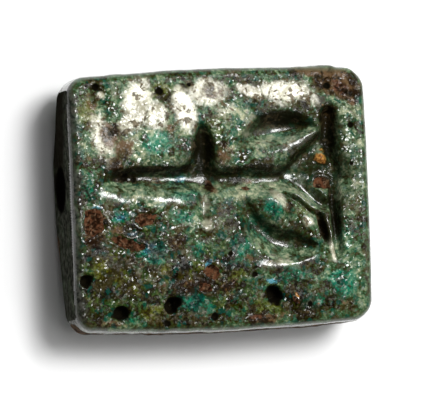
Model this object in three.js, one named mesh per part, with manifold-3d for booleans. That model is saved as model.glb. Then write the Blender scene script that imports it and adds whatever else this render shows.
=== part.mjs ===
// A rectangular plaque amulet of glazed faience, pierced lengthwise for a string. A sign is cut into its
// face: a stem with a cross-bar, which fans out onto an end bar between two scooped lobes.
//
// Millimetres, +Z up. The plaque lies on its back, face up. The origin is under its middle, on the plane
// that it rests on. +X runs along the bore towards the sign's end bar, and +Y towards the long side that
// the bore lies nearer to.

import * as THREE from "three";
import { mergeVertices } from "three/addons/utils/BufferGeometryUtils.js";
import Module from "manifold-3d";

// Driving dimensions of the plaque
const LENGTH = 14.3; // along X, from one pierced end to the other
const WIDTH = 12.3; // along Y, across the middle
const SIDE_BOW = 0.27; // how far each long side swells out between its ends
const SIDE_SLANT = 0.01; // slope of the long sides and the sign: the plaque isn't quite square
const CORNER_RADIUS = 0.9; // of the outline, seen from above
const FACE_EDGE_RADIUS = 0.45;
const BACK_EDGE_RADIUS = 0.5;
const FACE_CROWN = 0.45; // how far the face falls from its middle to its long edges
const CROWN_POWER = 3; // the higher, the flatter the face's middle
const BACK_RISE = 1.6; // how far the back climbs from its flat strip to the long edges
const FLAT_WIDTH = 3.0; // of the strip of the back that the plaque rests on
const FLAT_OFFSET = 0.8; // of that strip's middle from the plaque's, towards +Y

// The bore, the walls round it and the depth of the carving together make the thickness
const BORE_DIAMETER = 2.0;
const BORE_OFFSET = 0.8; // of its axis from the plaque's middle, towards +Y
const MOUTH_FLARE = 0.15; // how much the string has worn the bore's radius at its ends
const MOUTH_LENGTH = 0.7;
const MOUTH_BEND = 0.23; // from the end, where the mouth begins to open faster
const FLARE_AT_BEND = 0.06; // how much wider its radius is there
const BACK_WALL = 0.85; // between the bore and the flat strip
const CORE_WALL = 0.7; // between the bore and the floor of the deepest stroke
const CARVING_DEPTH = 0.9; // of the deepest stroke
const THICKNESS = BACK_WALL + BORE_DIAMETER + CORE_WALL + CARVING_DEPTH;
const BORE_HEIGHT = BACK_WALL + BORE_DIAMETER / 2;

// Burst glaze bubbles in the face: shares of the half length and half width, then radii
const BUBBLES = [
  { at: [0.33, -0.74], radius: 0.42 },
  { at: [-0.365, -0.8], radius: 0.36 },
  { at: [-0.695, -0.85], radius: 0.38 },
  { at: [-0.93, -0.585], radius: 0.26 },
];
const BUBBLE_SINK = 0.25; // of a bubble's middle below the face, as a share of its radius

// The sign. A stroke is a line of cuts, each [along, across, half width, depth]: along and across are
// shares of the plaque's half length and half width from its middle, the half width of the cut is a share
// of the plaque's half width, and the depth is a share of CARVING_DEPTH. The lean is the share by which a
// stroke is narrower, so steeper, on the left of its way.
const STROKES = {
  stemLeft: {
    lean: 0.2,
    cuts: [
      [-0.725, 0.175, 0.075, 0.5],
      [-0.645, 0.175, 0.1, 0.85],
      [-0.365, 0.175, 0.1, 0.9],
      [-0.17, 0.17, 0.1, 0.9],
      [-0.07, 0.165, 0.09, 0.7],
    ],
  },
  stemRight: {
    lean: 0.35,
    cuts: [
      [-0.14, 0.16, 0.1, 0.6],
      [-0.03, 0.155, 0.105, 0.7],
      [0.14, 0.15, 0.105, 0.65],
      [0.335, 0.15, 0.105, 0.7],
      [0.475, 0.155, 0.1, 0.8],
      [0.615, 0.16, 0.1, 0.75],
    ],
  },
  crossBar: {
    lean: 0,
    cuts: [
      [-0.11, 0.525, 0.06, 0.45],
      [-0.105, 0.405, 0.09, 0.75],
      [-0.1, 0.275, 0.1, 0.85],
      [-0.105, 0.145, 0.08, 0.85],
      [-0.11, 0.015, 0.055, 0.4],
      [-0.115, -0.115, 0.045, 0.3],
      [-0.115, -0.185, 0.03, 0.15],
    ],
  },
  shoulder: {
    lean: 0,
    cuts: [
      [-0.21, 0.215, 0.065, 0.7],
      [-0.16, 0.26, 0.075, 0.8],
      [-0.14, 0.34, 0.055, 0.6],
    ],
  },
  endBar: {
    lean: 0.1,
    cuts: [
      [0.745, 0.61, 0.07, 0.95],
      [0.745, 0.49, 0.08, 1],
      [0.76, 0.34, 0.07, 0.95],
      [0.77, 0.165, 0.06, 0.9],
      [0.77, -0.1, 0.055, 0.8],
      [0.77, -0.26, 0.045, 0.7],
      [0.77, -0.375, 0.04, 0.55],
      [0.775, -0.455, 0.03, 0.3],
    ],
  },
  fan: {
    lean: 0,
    cuts: [
      [0.515, 0.165, 0.05, 0.7],
      [0.615, 0.165, 0.13, 0.85],
      [0.7, 0.165, 0.22, 0.9],
    ],
  },
  fanUpper: {
    lean: 0.1,
    cuts: [
      [0.46, 0.175, 0.07, 0.75],
      [0.585, 0.285, 0.1, 0.85],
      [0.7, 0.41, 0.08, 0.85],
    ],
  },
  fanLower: {
    lean: -0.1,
    cuts: [
      [0.46, 0.145, 0.065, 0.8],
      [0.585, 0.04, 0.075, 0.85],
      [0.695, -0.075, 0.065, 0.8],
    ],
  },
  lobeUpper: {
    lean: 0.1,
    cuts: [
      [0.125, 0.405, 0.05, 0.2],
      [0.21, 0.48, 0.09, 0.55],
      [0.325, 0.535, 0.12, 0.9],
      [0.45, 0.555, 0.125, 0.95],
      [0.545, 0.545, 0.08, 0.8],
      [0.62, 0.53, 0.04, 0.35],
    ],
  },
  lobeLower: {
    lean: 0.35,
    cuts: [
      [0.175, -0.075, 0.055, 0.35],
      [0.21, -0.175, 0.08, 0.65],
      [0.295, -0.285, 0.105, 0.9],
      [0.415, -0.34, 0.115, 0.95],
      [0.53, -0.36, 0.085, 0.7],
      [0.615, -0.39, 0.045, 0.3],
    ],
  },
  lobeTip: {
    lean: 0,
    cuts: [
      [0.655, -0.165, 0.03, 0.5],
      [0.675, -0.255, 0.035, 0.85],
      [0.7, -0.365, 0.025, 0.5],
    ],
  },
};
const WALL_FOOT = 0.15; // where a stroke's wall begins and ends, as shares of the cut's half width
const WALL_TOP = 1.2;
const CARVED_ALONG = [-0.8, 0.84]; // the part of the face that holds the sign, as shares like above
const CARVED_ACROSS = [-0.53, 0.71];

// How fine the facets are
const CARVED_STEP = 0.2;
const PLAIN_STEP = 0.6;
const BACK_STEP = 1.1;
const STROKE_STEPS = 3; // from each cut of a stroke to the next
const EDGE_STEPS = 4; // round each rounded edge
const BORE_SIDES = 24;
const BUBBLE_SIDES = 10;
const CUT_BEYOND = 1; // of the bore's cutter past each end of the plaque
const SAME_POINT = 1e-5; // corners nearer than this are one corner

const halfLength = LENGTH / 2;
const halfWidth = WIDTH / 2;

// A point of the plan, drawn square, moved to where the bowed and slanted sides take it.
const bowedY = (x, y) => y * (1 - (SIDE_BOW / halfWidth) * (x / halfLength) ** 2);
const slantedY = (x, y) => bowedY(x, y) + SIDE_SLANT * x;

// How far a point of the plan lies inside its rounded outline.
function insetOf(x, y) {
  const outX = Math.abs(x) - (halfLength - CORNER_RADIUS);
  const outY = Math.abs(y) - (halfWidth - CORNER_RADIUS);
  const beyond = Math.hypot(Math.max(outX, 0), Math.max(outY, 0));
  return CORNER_RADIUS - beyond - Math.min(Math.max(outX, outY), 0);
}

// How far a rounded edge falls below its sheet, at an inset from the outline.
function edgeFall(inset, radius) {
  const left = Math.min(Math.max(radius - inset, 0), radius);
  return radius - Math.sqrt(radius * radius - left * left);
}

// A stroke's cuts on a smooth line, with more of them than it is given by.
function smoothCuts({ lean, cuts }) {
  const curve = (pairs) => {
    return new THREE.SplineCurve(pairs).getPoints((cuts.length - 1) * STROKE_STEPS);
  };
  const places = curve(cuts.map((cut) => new THREE.Vector2(cut[0] * halfLength, cut[1] * halfWidth)));
  const sections = curve(cuts.map((cut) => new THREE.Vector2(cut[2] * halfWidth, cut[3])));
  return { lean, places, sections };
}
const smoothStrokes = Object.values(STROKES).map(smoothCuts);

// The share of its depth that one stroke cuts at a point: the deepest of its stretches there.
function strokeShare({ lean, places, sections }, x, y) {
  let deepest = 0;
  for (let i = 0; i + 1 < places.length; i++) {
    const run = places[i + 1].clone().sub(places[i]);
    const reach = new THREE.Vector2(x, y).sub(places[i]);
    const t = THREE.MathUtils.clamp(reach.dot(run) / run.lengthSq(), 0, 1);
    const section = sections[i].clone().lerp(sections[i + 1], t);
    const off = reach.addScaledVector(run, -t);
    const toLeft = off.length() > 0 ? run.cross(off) / (run.length() * off.length()) : 0;
    const away = off.length() / (section.x * (1 - lean * toLeft));
    deepest = Math.max(deepest, section.y * (1 - THREE.MathUtils.smoothstep(away, WALL_FOOT, WALL_TOP)));
  }
  return deepest;
}

// The depth of the whole sign at a point: strokes that meet run into each other.
function carvedDepth(x, y) {
  const left = smoothStrokes.reduce((share, stroke) => share * (1 - strokeShare(stroke, x, y)), 1);
  return CARVING_DEPTH * (1 - left);
}

function faceHeight(x, y) {
  const crown = FACE_CROWN * Math.pow(Math.abs(y) / halfWidth, CROWN_POWER);
  const uncarved = THICKNESS - crown - edgeFall(insetOf(x, y), FACE_EDGE_RADIUS);
  return uncarved - carvedDepth(x, bowedY(x, y));
}

function backHeight(x, y) {
  const fromFlat = Math.max(Math.abs(y - FLAT_OFFSET) - FLAT_WIDTH / 2, 0);
  const side = y > FLAT_OFFSET ? halfWidth - FLAT_OFFSET : halfWidth + FLAT_OFFSET;
  const climb = (BACK_RISE * fromFlat) / (side - FLAT_WIDTH / 2);
  return climb + edgeFall(insetOf(x, y), BACK_EDGE_RADIUS);
}

// Grid lines across a sheet: close together round its rounded edges, and between them at even steps,
// which are finer from one place to another.
function gridLines(half, radius, step, [from, to] = [0, 0], fineStep = step) {
  const edge = [];
  for (let i = 0; i < EDGE_STEPS; i++) {
    edge.push(half - radius * (1 - Math.cos((i / EDGE_STEPS) * (Math.PI / 2))));
  }
  const stretch = (start, end, size) => {
    const count = Math.max(Math.round((end - start) / size), 1);
    return Array.from({ length: count }, (_, i) => THREE.MathUtils.lerp(start, end, i / count));
  };
  const flat = half - radius;
  const between = [
    ...stretch(-flat, from * half, step),
    ...stretch(from * half, to * half, fineStep),
    ...stretch(to * half, flat, step),
  ];
  return [...edge.map((place) => -place), ...new Set(between), flat, ...edge.reverse()];
}

// A grid point moved so that the grid's square corners fill the plaque's round ones.
function roundCorner(x, y) {
  const [flatX, flatY] = [halfLength - CORNER_RADIUS, halfWidth - CORNER_RADIUS];
  const outX = (Math.abs(x) - flatX) / CORNER_RADIUS;
  const outY = (Math.abs(y) - flatY) / CORNER_RADIUS;
  if (outX <= 0 || outY <= 0) return [x, y];
  return [
    Math.sign(x) * (flatX + CORNER_RADIUS * outX * Math.sqrt(1 - (outY * outY) / 2)),
    Math.sign(y) * (flatY + CORNER_RADIUS * outY * Math.sqrt(1 - (outX * outX) / 2)),
  ];
}

// One side of the plaque: its triangles, facing up or down, and the loop of points round its outline,
// each with its place along the square outline of the grid.
function sheet(xs, ys, heightAt, facesUp) {
  const point = (i, j) => {
    const [x, y] = roundCorner(xs[i], ys[j]);
    return new THREE.Vector3(x, slantedY(x, y), heightAt(x, y));
  };
  const points = xs.map((_, i) => ys.map((_, j) => point(i, j)));
  const triangles = [];
  for (let i = 0; i + 1 < xs.length; i++) {
    for (let j = 0; j + 1 < ys.length; j++) {
      const [a, b, c, d] = [points[i][j], points[i + 1][j], points[i + 1][j + 1], points[i][j + 1]];
      const alongFall = Math.abs(a.z - c.z) < Math.abs(b.z - d.z);
      const halves = alongFall ? [[a, b, c], [a, c, d]] : [[a, b, d], [b, c, d]];
      for (const [p, q, r] of halves) triangles.push(facesUp ? [p, q, r] : [p, r, q]);
    }
  }
  const [lastX, lastY] = [xs.length - 1, ys.length - 1];
  const loop = [];
  for (let i = 0; i < lastX; i++) loop.push({ point: points[i][0], along: xs[i] + halfLength });
  for (let j = 0; j < lastY; j++) {
    loop.push({ point: points[lastX][j], along: LENGTH + ys[j] + halfWidth });
  }
  for (let i = lastX; i > 0; i--) {
    loop.push({ point: points[i][lastY], along: LENGTH + WIDTH + halfLength - xs[i] });
  }
  for (let j = lastY; j > 0; j--) {
    loop.push({ point: points[0][j], along: 2 * LENGTH + WIDTH + halfWidth - ys[j] });
  }
  return { triangles, loop };
}

// The wall between the back's outline and the face's, whose points need not match in number.
function wall(lower, upper) {
  const around = 2 * (LENGTH + WIDTH);
  const at = (loop, i) => loop[i % loop.length].point;
  const along = (loop, i) => loop[i % loop.length].along + (i < loop.length ? 0 : around);
  const triangles = [];
  let [i, j] = [0, 0];
  while (i < lower.length || j < upper.length) {
    const takeLower =
      j === upper.length || (i < lower.length && along(lower, i + 1) <= along(upper, j + 1));
    if (takeLower) {
      triangles.push([at(lower, i), at(lower, i + 1), at(upper, j)]);
      i++;
    } else {
      triangles.push([at(lower, i), at(upper, j + 1), at(upper, j)]);
      j++;
    }
  }
  return triangles;
}

function geometryOf(triangles) {
  const positions = triangles.flat().flatMap((point) => point.toArray());
  return new THREE.BufferGeometry().setAttribute(
    "position",
    new THREE.Float32BufferAttribute(positions, 3),
  );
}

// The plaque with its carved face, before it is pierced.
function carvedPlaque() {
  const face = sheet(
    gridLines(halfLength, FACE_EDGE_RADIUS, PLAIN_STEP, CARVED_ALONG, CARVED_STEP),
    gridLines(halfWidth, FACE_EDGE_RADIUS, PLAIN_STEP, CARVED_ACROSS, CARVED_STEP),
    faceHeight,
    true,
  );
  const back = sheet(
    gridLines(halfLength, BACK_EDGE_RADIUS, BACK_STEP),
    gridLines(halfWidth, BACK_EDGE_RADIUS, BACK_STEP),
    backHeight,
    false,
  );
  return geometryOf([...face.triangles, ...back.triangles, ...wall(back.loop, face.loop)]);
}

// What the drill and the string took away, with the bore's axis on X.
function boreCutter() {
  const radius = BORE_DIAMETER / 2;
  const mouth = (way) => [
    new THREE.Vector2(radius, way * (halfLength - MOUTH_LENGTH)),
    new THREE.Vector2(radius + FLARE_AT_BEND, way * (halfLength - MOUTH_BEND)),
    new THREE.Vector2(radius + MOUTH_FLARE, way * halfLength),
    new THREE.Vector2(radius + MOUTH_FLARE, way * (halfLength + CUT_BEYOND)),
    new THREE.Vector2(0, way * (halfLength + CUT_BEYOND)),
  ];
  return new THREE.LatheGeometry([...mouth(-1).reverse(), ...mouth(1)], BORE_SIDES)
    .rotateZ(-Math.PI / 2)
    .translate(0, BORE_OFFSET, BORE_HEIGHT);
}

function bubbleCutter({ at, radius }) {
  const [x, y] = [at[0] * halfLength, at[1] * halfWidth];
  return new THREE.SphereGeometry(radius, BUBBLE_SIDES, BUBBLE_SIDES / 2)
    .rotateX(Math.PI / 2)
    .translate(x, slantedY(x, y), faceHeight(x, y) - radius * BUBBLE_SINK);
}

const wasm = await Module();
wasm.setup();

function solidOf(geometry) {
  const bare = geometry.clone();
  bare.deleteAttribute("normal");
  bare.deleteAttribute("uv");
  const merged = mergeVertices(bare, SAME_POINT);
  return new wasm.Manifold(
    new wasm.Mesh({
      numProp: 3,
      vertProperties: merged.getAttribute("position").array,
      triVerts: new Uint32Array(merged.index.array),
    }),
  );
}

function geometryFrom(solid) {
  const mesh = solid.getMesh();
  const geometry = new THREE.BufferGeometry();
  geometry.setAttribute("position", new THREE.BufferAttribute(mesh.vertProperties, 3));
  geometry.setIndex(new THREE.BufferAttribute(mesh.triVerts, 1));
  geometry.computeVertexNormals();
  return geometry;
}

function plaque() {
  const cutters = [boreCutter(), ...BUBBLES.map(bubbleCutter)];
  const pierced = cutters.reduce(
    (solid, cutter) => solid.subtract(solidOf(cutter)),
    solidOf(carvedPlaque()),
  );
  const glaze = new THREE.MeshStandardMaterial({ color: 0x4b6a50, roughness: 0.22, metalness: 0 });
  const mesh = new THREE.Mesh(geometryFrom(pierced), glaze);
  mesh.name = "plaque";
  return mesh;
}

const amulet = new THREE.Group();
amulet.add(plaque());

export default amulet;
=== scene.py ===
import math

import bpy
import numpy as np
from mathutils import Matrix, Vector


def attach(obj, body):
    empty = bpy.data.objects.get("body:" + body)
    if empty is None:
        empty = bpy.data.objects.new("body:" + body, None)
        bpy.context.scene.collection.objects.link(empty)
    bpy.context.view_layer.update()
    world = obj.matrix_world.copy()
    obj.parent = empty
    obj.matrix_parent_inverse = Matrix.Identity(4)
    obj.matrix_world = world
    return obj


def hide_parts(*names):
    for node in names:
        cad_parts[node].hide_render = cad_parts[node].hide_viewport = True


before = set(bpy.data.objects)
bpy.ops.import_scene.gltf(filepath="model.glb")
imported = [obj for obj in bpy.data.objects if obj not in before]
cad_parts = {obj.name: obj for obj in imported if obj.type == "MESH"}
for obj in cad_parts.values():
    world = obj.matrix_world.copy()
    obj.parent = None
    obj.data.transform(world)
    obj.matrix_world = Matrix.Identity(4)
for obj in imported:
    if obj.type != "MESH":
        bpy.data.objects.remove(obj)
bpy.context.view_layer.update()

MM = 0.001

# The plaque, of the same sizes as its solid
LENGTH, WIDTH, THICKNESS = 14.3, 12.3, 4.45
HALF_LENGTH, HALF_WIDTH = LENGTH / 2, WIDTH / 2
SIDE_BOW, SIDE_SLANT = 0.27, 0.01
CORNER_RADIUS = 0.9
FACE_EDGE_RADIUS, BACK_EDGE_RADIUS = 0.45, 0.5
FACE_CROWN, CROWN_POWER = 0.45, 3
BACK_RISE = 1.6
FLAT_WIDTH, FLAT_OFFSET = 3.0, 0.8
BORE_RADIUS, BORE_OFFSET, BORE_HEIGHT = 1.0, 0.8, 1.85
MOUTH_FLARE, MOUTH_LENGTH, MOUTH_POWER = 0.15, 0.7, 1.6
CARVING_DEPTH = 0.9

# How finely the mesh is drawn
FACE_STEP, BACK_STEP = 0.062, 0.13
EDGE_STEPS, WALL_RINGS, SPLINE_STEPS = 8, 14, 4
BORE_SIDES, BORE_STATIONS, BORE_OVERRUN = 72, 61, 0.5
SLOPE_STEP, OUTWARD_STEP = 0.1, 1e-3
TINY = 1e-9

# The sign's strokes: lean, then cuts of [x, y, half width, depth share]. The lean narrows the side to the
# left of the stroke's way, which makes that wall steeper.
STROKES = {
    "stem_left": (0.2, [(-5.2, 1.07, 0.45, 0.5), (-4.6, 1.08, 0.6, 0.85), (-2.6, 1.08, 0.63, 0.92),
        (-1.2, 1.06, 0.62, 0.9), (-0.5, 1.0, 0.55, 0.7)]),
    "stem_right": (0.35, [(-1.0, 0.98, 0.6, 0.6), (-0.2, 0.94, 0.64, 0.72), (1.0, 0.92, 0.66, 0.66),
        (2.4, 0.92, 0.64, 0.72), (3.4, 0.96, 0.6, 0.8), (4.4, 0.98, 0.6, 0.75)]),
    "cross_bar": (0.0, [(-0.78, 3.22, 0.36, 0.45), (-0.75, 2.5, 0.54, 0.75), (-0.73, 1.7, 0.6, 0.85),
        (-0.75, 0.9, 0.5, 0.85), (-0.78, 0.1, 0.34, 0.4), (-0.81, -0.72, 0.28, 0.3),
        (-0.81, -1.14, 0.2, 0.15)]),
    "shoulder": (0.0, [(-1.5, 1.32, 0.4, 0.7), (-1.14, 1.6, 0.45, 0.8), (-1.0, 2.1, 0.35, 0.6)]),
    "end_bar": (0.1, [(5.33, 3.75, 0.42, 0.95), (5.33, 3.0, 0.5, 1.0), (5.42, 2.1, 0.44, 0.95),
        (5.5, 1.0, 0.36, 0.9), (5.5, -0.6, 0.34, 0.8), (5.5, -1.6, 0.28, 0.7), (5.52, -2.3, 0.25, 0.55),
        (5.54, -2.8, 0.2, 0.3)]),
    "fan": (0.0, [(3.7, 1.0, 0.3, 0.7), (4.4, 1.0, 0.8, 0.85), (5.0, 1.0, 1.35, 0.88)]),
    "fan_upper": (0.1, [(3.3, 1.08, 0.42, 0.75), (4.2, 1.74, 0.6, 0.85), (5.0, 2.52, 0.5, 0.85)]),
    "fan_lower": (-0.1, [(3.3, 0.9, 0.4, 0.8), (4.19, 0.24, 0.45, 0.85), (4.97, -0.45, 0.4, 0.8)]),
    "lobe_upper": (-0.1, [(0.9, 2.45, 0.3, 0.2), (1.49, 2.82, 0.48, 0.55), (2.31, 3.06, 0.65, 0.9),
        (3.2, 3.17, 0.68, 0.95), (3.9, 3.2, 0.5, 0.8), (4.45, 3.2, 0.28, 0.35)]),
    "lobe_lower": (0.25, [(1.2, -0.3, 0.4, 0.3), (1.49, -1.0, 0.6, 0.55), (2.1, -1.7, 0.74, 0.75),
        (2.98, -2.1, 0.78, 0.8), (3.8, -2.25, 0.58, 0.6), (4.4, -2.4, 0.3, 0.25)]),
    "lobe_tip": (0.0, [(4.7, -1.0, 0.2, 0.5), (4.83, -1.56, 0.22, 0.85), (5.0, -2.25, 0.16, 0.5)]),
}
# Fine grooves round the boss in the lower lobe, too slight to lie in a hollow
BOSS_GROOVES = {
    "groove": (0.0, [(2.9, 0.12, 0.16, 0.15), (3.6, -0.25, 0.18, 0.3), (4.4, -0.95, 0.16, 0.25)]),
    "edge": (0.0, [(2.55, 0.08, 0.15, 0.1), (3.1, -0.3, 0.2, 0.3), (3.14, -0.9, 0.2, 0.3),
                   (2.9, -1.35, 0.15, 0.15)]),
}
WALL_FOOT, WALL_TOP = 0.1, 1.13
HOLLOW_REACH, HOLLOW_DEPTH, HOLLOW_SHARE, HOLLOW_LEAN = 2.3, 0.13, 0.8, 0.5

# Lips where the glaze has piled up beside the strokes: points of [x, y, half width, height]
LIPS = [
    [(-5.9, 0.42, 0.34, 0.03), (-5.3, 0.22, 0.44, 0.075), (-4.6, 0.0, 0.34, 0.05)],
    [(-4.2, 0.3, 0.34, 0.03), (-3.2, 0.08, 0.44, 0.075), (-2.1, -0.08, 0.36, 0.05)],
    [(2.9, 2.22, 0.3, 0.04), (3.6, 2.4, 0.56, 0.13), (4.4, 2.98, 0.36, 0.08)],
    [(3.1, 0.4, 0.26, 0.04), (3.8, -0.05, 0.36, 0.07), (4.4, -0.55, 0.26, 0.04)],
    [(1.6, 0.0, 0.34, 0.05), (2.4, -0.1, 0.46, 0.07), (3.0, -0.55, 0.36, 0.07)],
    [(1.7, -3.2, 0.34, 0.04), (2.7, -3.25, 0.5, 0.09), (4.2, -3.0, 0.38, 0.06)],
    [(4.95, -1.3, 0.24, 0.06), (5.15, -2.3, 0.32, 0.1), (5.4, -3.2, 0.28, 0.07)],
    [(1.0, 2.5, 0.3, 0.05), (1.6, 2.95, 0.34, 0.08), (2.4, 3.2, 0.28, 0.05)],
    [(-0.85, -0.2, 0.36, 0.07), (-0.85, -0.9, 0.3, 0.05), (-0.85, -1.4, 0.38, 0.1)],
    [(3.9, -1.1, 0.28, 0.04), (4.15, -1.4, 0.32, 0.07)],
]
LIP_REACH = 1.3

# Burst glaze bubbles: x, y, radius, depth
PITS = [(2.35, -4.55, 0.44, 0.75), (-2.6, -4.92, 0.38, 0.6), (-2.35, -4.8, 0.26, 0.35),
        (-4.98, -5.2, 0.4, 0.6), (-6.67, -3.6, 0.3, 0.5), (-5.8, 5.45, 0.18, 0.25),
        (-2.75, 5.15, 0.2, 0.15), (-4.5, 1.2, 0.2, 0.15), (-4.05, 1.05, 0.14, 0.15),
        (-2.75, -5.75, 0.16, 0.2), (-1.3, 5.4, 0.12, 0.15), (5.35, 5.1, 0.16, 0.2),
        (1.45, -3.6, 0.12, 0.15), (0.3, -2.6, 0.12, 0.15), (4.1, -5.1, 0.14, 0.2),
        (-0.5, -5.5, 0.18, 0.2), (6.35, 3.2, 0.12, 0.15), (6.3, 1.4, 0.1, 0.12)]
# One bubble that left a ring round a low boss
RING_X, RING_Y, RING_RADIUS, RING_WIDTH, RING_DEPTH = -5.68, 5.08, 0.36, 0.09, 0.07
RING_BOSS_HEIGHT, RING_BOSS_WIDTH = 0.04, 0.25
# Low swells of the glaze: x, y, half length, half width, turn in degrees, height
LUMPS = [(2.25, -0.5, 0.8, 0.8, 0, 0.12), (5.0, 1.72, 0.4, 0.26, -20, 0.12),
         (-2.6, 3.2, 1.3, 1.2, 0, 0.04), (-4.4, 4.0, 0.9, 1.0, 30, 0.03),
         (3.4, -4.8, 0.3, 0.18, -50, 0.08), (-2.0, -3.2, 0.7, 0.4, 20, 0.05),
         (-5.4, -3.3, 0.6, 0.5, 0, 0.05), (0.6, 3.4, 0.6, 1.0, 0, 0.04), (5.9, 5.3, 0.9, 0.6, -30, 0.06),
         (4.8, 5.7, 0.6, 0.3, 0, 0.05), (6.2, 0.5, 0.35, 1.6, 0, 0.03), (3.0, 1.9, 0.6, 0.35, 0, 0.04),
         (-5.0, 2.4, 0.5, 0.5, 0, 0.04), (0.6, -4.8, 0.6, 0.4, 0, 0.04)]
# Flakes of body clay that stick in the glaze, each in a raised rim: x, y, half length, half width, turn
FLAKES = [(-3.75, -0.85, 0.6, 0.32, 4), (-4.7, -1.95, 0.72, 0.24, -18), (-0.6, -3.42, 0.36, 0.34, -40),
          (-6.25, -0.9, 0.5, 0.6, 0), (5.0, 0.55, 0.35, 0.3, 0), (-1.0, -4.1, 0.35, 0.2, -30)]
FLAKE_DEPTH = 0.05
RIM_PLACE, RIM_WIDTH, RIM_HEIGHT = 1.3, 0.36, 0.05
# The brown crust on one corner, as an ellipse
CRUST = (5.8, 5.4, 1.3, 0.8, -20)
# How far each rough part lies from the plain plaque, over and above its hills
FACE_SINK, CRUST_SINK, BORE_SINK, STRIP_SWELL, SIDE_CRUST_SWELL = 0.06, 0.06, 0.02, 0.05, 0.1
ENDS_SPARED = 0.6

# Random hills: rows of (height, size, seed)
HILLS = {
    "wander_x": [(0.06, 0.9, 5), (0.015, 0.35, 7)], "wander_y": [(0.06, 0.9, 6), (0.015, 0.35, 8)],
    "face": [(0.04, 1.6, 1), (0.022, 0.7, 2), (0.014, 0.3, 3)],
    "outlines": [(0.3, 0.42, 4), (0.16, 0.17, 10)], "crust": [(0.07, 0.45, 13), (0.035, 0.18, 14)],
    "flake": [(0.05, 0.2, 9)], "rim_breaks": [(1, 0.5, 15)],
    "back": [(0.03, 1.7, 11), (0.02, 0.6, 12)], "side": [(0.03, 1.6, 21), (0.02, 0.6, 22)],
    "glaze_line": [(0.18, 0.9, 23), (0.1, 0.35, 24)], "strip": [(0.03, 0.3, 25)],
    "side_crust": [(0.06, 0.4, 26)], "bore": [(0.03, 1.1, 31)],
    "bare_back": [(1, 2.6, 41), (0.5, 0.8, 42)], "end": [(0.25, 0.6, 43)],
}

# Where each thing fades in: the value at which it starts, and the value at which it is full
FADES = {
    # By the distance in from the outline
    "face_hills": (0.0, 0.7), "crust_inset": (0.0, 0.25), "in_from_side": (0.0, 0.55),
    "in_from_edge": (-0.1, 0.15), "in_from_gloss": (0.15, 0.5), "in_from_edge_colour": (0.0, 0.3),
    # By the distance from the middle of a patch, where 1 is its outline
    "lump": (0.35, 1.25), "crust": (0.7, 1.3), "flake": (0.7, 1.1), "flake_colour": (0.75, 1.15),
    "pit": (0.35, 1.15), "pit_colour": (0.6, 1.35), "patch": (0.3, 1.45), "dry": (0.7, 1.3),
    # By height above the ground
    "on_face": (3.0, 3.5), "strip_foot": (0.5, 1.3), "strip_top": (3.1, 3.4), "side_crust_foot": (2.5, 3.2),
    "bare_foot": (0.3, 1.0), "bare_top": (3.05, 3.35), "bare_back_top": (0.6, 1.5), "end_foot": (0.0, 0.7),
    "end_stain_top": (1.4, 3.4),
    # By the distance along or across the plaque
    "back_rough": (0.0, 0.5), "near_side": (5.2, 5.9), "far_side": (5.3, 5.9),
    "side_crust_left": (3.6, 4.4), "side_crust_right": (6.4, 7.0), "ends_spared": (6.6, 7.0),
    "bore_far_end": (5.6, 7.0),
    "bore_wall": (1.02, 1.22), "end": (6.6, 7.1), "end_stain": (6.7, 7.1), "end_stain_side": (-0.6, 1.6),
    # By the depth or the height of the carving
    "sunk_gloss": (0.02, 0.3), "floor_gloss": (0.45, 0.7), "lip_gloss": (0.01, 0.05), "floor": (0.6, 0.9),
    # By the height of a random hill
    "rim_breaks": (-0.3, 0.4), "bare_back": (0.25, 0.6),
    # By the steepness towards the light
    "lit": (0.0, 0.5), "shaded": (0.05, 1.0), "lit_pale": (0.05, 0.6),
}
# Shares of some looks
SUNK_GLOSS, RIM_GLOSS, RIM_GLOSS_WIDTH = 0.3, 0.6, 0.3
LIT_CLEARED, PAINTED_WALL_SHADE, FLOOR_CLEARED, BORE_LIGHTER = 0.85, 0.5, 0.3, 0.6
END_STAIN_RISE = 0.15
# Places where the floor of a stroke is dry instead of glossy, as ellipses
DRY = [(4.6, 1.7, 0.9, 0.9, 0), (5.35, 1.4, 0.6, 2.7, 0), (-1.25, 1.5, 0.5, 0.5, 0),
       (4.05, 0.95, 0.5, 0.45, 0)]

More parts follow.
